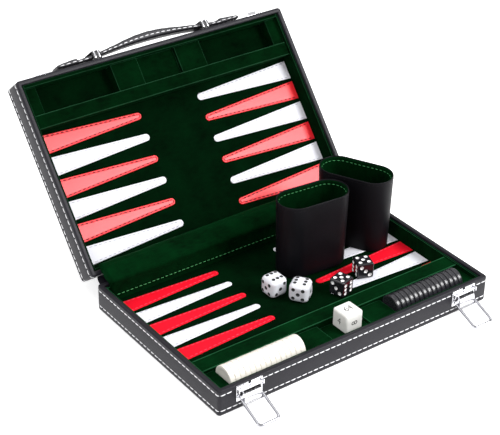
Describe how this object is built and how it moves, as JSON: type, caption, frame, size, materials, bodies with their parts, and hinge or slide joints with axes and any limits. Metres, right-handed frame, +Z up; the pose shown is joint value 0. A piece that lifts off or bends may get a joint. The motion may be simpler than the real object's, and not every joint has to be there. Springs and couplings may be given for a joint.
{
  "type": "backgammon case",
  "caption": "Folding backgammon case: two leatherette trays hinged at the back, velour board with red and white points, latches, handle, dice cups, dice and checkers.",
  "frame": {"origin": "centre of the base tray's underside", "axes": "+X to the right along the front, +Y to the hinge at the back, +Z up"},
  "size_m": [0.28, 0.3525, 0.1706],
  "materials": {
    "leatherette": "fine grained, semi-matt",
    "cup_leather": "smooth, satin",
    "board": "raw fibreboard",
    "green_velour": "short pile",
    "red_felt": "fine pile, stitched",
    "white_felt": "fine pile, stitched",
    "chrome": "bright",
    "white_plastic": "polished",
    "ivory_plastic": "satin",
    "black_plastic": "polished"
  },
  "bodies": {
    "base": {"base_frame": "board", "base_cover": "leatherette", "base_underside_cover": "leatherette", "base_floor_board": "board", "base_wall_lining": "green_velour", "base_playing_pad": "green_velour", "base_tray_ridge": "green_velour", "base_tray_blocks": "green_velour", "base_red_points": "red_felt", "base_white_points": "white_felt", "left_latch_plate": "chrome", "left_latch_pin": "chrome", "right_latch_plate": "chrome", "right_latch_pin": "chrome", "latch_rivets": "chrome"},
    "hinge": {"hinge_liner": "green_velour", "hinge_outer_strip": "leatherette"},
    "lid": {"lid_frame": "board", "lid_cover": "leatherette", "lid_top_cover": "leatherette", "lid_floor_board": "board", "lid_wall_lining": "green_velour", "lid_playing_pad": "green_velour", "lid_tray_ridge": "green_velour", "lid_tray_blocks": "green_velour", "lid_red_points": "red_felt", "lid_white_points": "white_felt", "left_strike": "chrome", "right_strike": "chrome", "strike_rivets": "chrome", "handle_keepers": "leatherette"},
    "handle": {"handle_strap": "leatherette"},
    "left_lever": {"left_latch_lever": "chrome"},
    "left_bail": {"left_latch_bail": "chrome"},
    "right_lever": {"right_latch_lever": "chrome"},
    "right_bail": {"right_latch_bail": "chrome"},
    "front_cup": {"front_cup_shell": "cup_leather", "front_cup_lining": "green_velour"},
    "back_cup": {"back_cup_shell": "cup_leather", "back_cup_lining": "green_velour"},
    "white_die_1": {"white_die_1": "white_plastic"},
    "white_die_2": {"white_die_2": "white_plastic"},
    "black_die_1": {"black_die_1": "black_plastic"},
    "black_die_2": {"black_die_2": "black_plastic"},
    "doubling_cube": {"doubling_cube": "white_plastic"},
    "ivory_checkers": {"ivory_checkers": "ivory_plastic"},
    "black_checkers": {"black_checkers": "black_plastic"}
  },
  "joints": [
    {"name": "lid_close", "type": "hinge", "parent": "base", "child": "hinge", "pos_m": [0, 0.09315, 0.0245], "axis": [1, 0, 0], "range_deg": [0, 130.3], "deforming": ["hinge_liner", "hinge_outer_strip"]},
    {"name": "lid_lay_flat", "type": "hinge", "parent": "hinge", "child": "lid", "pos_m": [0, 0.09315, 0.0245], "axis": [1, 0, 0], "range_deg": [-49.7, 0]},
    {"name": "handle_slide", "type": "slide", "parent": "lid", "child": "handle", "axis": [1, 0, 0], "range_m": [-0.003, 0.003]},
    {"name": "left_lever_lift", "type": "hinge", "parent": "base", "child": "left_lever", "pos_m": [-0.1115, -0.0913, 0.0195], "axis": [1, 0, 0], "range_deg": [-75, 0]},
    {"name": "left_bail_swing", "type": "hinge", "parent": "left_lever", "child": "left_bail", "pos_m": [-0.1115, -0.0927, 0.0108], "axis": [-1, 0, 0], "range_deg": [0, 105]},
    {"name": "right_lever_lift", "type": "hinge", "parent": "base", "child": "right_lever", "pos_m": [0.112, -0.0913, 0.0195], "axis": [1, 0, 0], "range_deg": [-75, 0]},
    {"name": "right_bail_swing", "type": "hinge", "parent": "right_lever", "child": "right_bail", "pos_m": [0.112, -0.0927, 0.0108], "axis": [-1, 0, 0], "range_deg": [0, 105]},
    {"name": "front_cup_move_out", "type": "hinge", "parent": "base", "child": "front_cup", "pos_m": [0, -0.054, 0.0393], "axis": [1, 0, 0], "range_deg": [0, 180]},
    {"name": "back_cup_move_out", "type": "hinge", "parent": "base", "child": "back_cup", "pos_m": [0, -0.054, 0.0393], "axis": [1, 0, 0], "range_deg": [0, 180]},
    {"name": "white_die_1_lift", "type": "slide", "parent": "base", "child": "white_die_1", "axis": [0, 0, 1], "range_m": [0, 0.08]},
    {"name": "white_die_2_lift", "type": "slide", "parent": "base", "child": "white_die_2", "axis": [0, 0, 1], "range_m": [0, 0.08]},
    {"name": "black_die_1_lift", "type": "slide", "parent": "base", "child": "black_die_1", "axis": [0, 0, 1], "range_m": [0, 0.08]},
    {"name": "black_die_2_lift", "type": "slide", "parent": "base", "child": "black_die_2", "axis": [0, 0, 1], "range_m": [0, 0.08]},
    {"name": "doubling_cube_lift", "type": "slide", "parent": "base", "child": "doubling_cube", "axis": [0, 0, 1], "range_m": [0, 0.08]},
    {"name": "ivory_checkers_lift", "type": "slide", "parent": "base", "child": "ivory_checkers", "axis": [0, 0, 1], "range_m": [0, 0.08]},
    {"name": "black_checkers_lift", "type": "slide", "parent": "base", "child": "black_checkers", "axis": [0, 0, 1], "range_m": [0, 0.08]}
  ],
  "couplings": [
    {"joint": "front_cup_move_out", "follows": "lid_close", "ratio": 1.3814},
    {"joint": "back_cup_move_out", "follows": "lid_close", "ratio": 1.3814}
  ]
}
